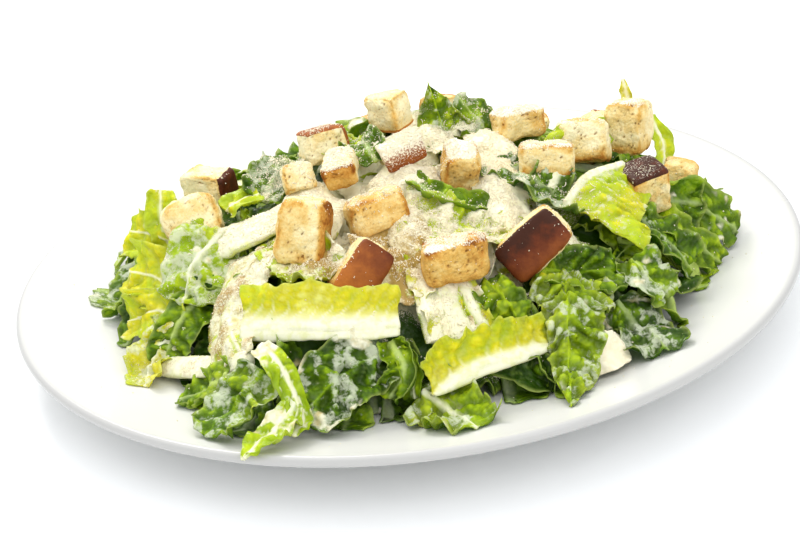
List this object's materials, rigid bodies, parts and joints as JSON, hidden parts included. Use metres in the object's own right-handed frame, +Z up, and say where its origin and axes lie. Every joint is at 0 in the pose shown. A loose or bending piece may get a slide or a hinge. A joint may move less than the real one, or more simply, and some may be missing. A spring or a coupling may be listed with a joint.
{
  "type": "caesar salad",
  "caption": "Caesar salad on its plate: dressed romaine heaped on a round white coupe plate, topped with toasted bread croutons and grated hard cheese.",
  "frame": {"origin": "on the table, under the middle of the plate's foot ring", "axes": "+Z up, the plate's axis; +X to the right and +Y to the back, seen from the side where the leaf tips reach the plate's rim"},
  "size_m": [0.28, 0.28, 0.077],
  "materials": {
    "plate_glaze": null,
    "romaine": null,
    "toasted_bread": null,
    "hard_cheese": null,
    "dressing": null
  },
  "bodies": {
    "root": {"plate": "plate_glaze", "lettuce_heap": "romaine", "crouton_01": "toasted_bread", "crouton_02": "toasted_bread", "crouton_03": "toasted_bread", "crouton_04": "toasted_bread", "crouton_05": "toasted_bread", "crouton_06": "toasted_bread", "crouton_07": "toasted_bread", "crouton_08": "toasted_bread", "crouton_09": "toasted_bread", "crouton_10": "toasted_bread", "crouton_11": "toasted_bread", "crouton_12": "toasted_bread", "crouton_13": "toasted_bread", "crouton_14": "toasted_bread", "crouton_15": "toasted_bread", "crouton_16": "toasted_bread", "crouton_17": "toasted_bread", "crouton_18": "toasted_bread", "crouton_19": "toasted_bread", "crouton_20": "toasted_bread", "crouton_21": "toasted_bread", "crouton_22": "toasted_bread", "crouton_23": "toasted_bread", "crouton_24": "toasted_bread", "crouton_25": "toasted_bread", "crouton_26": "toasted_bread", "crouton_27": "toasted_bread", "crouton_28": "toasted_bread", "crouton_29": "toasted_bread", "cheese_flake": "hard_cheese"}
  },
  "joints": []
}
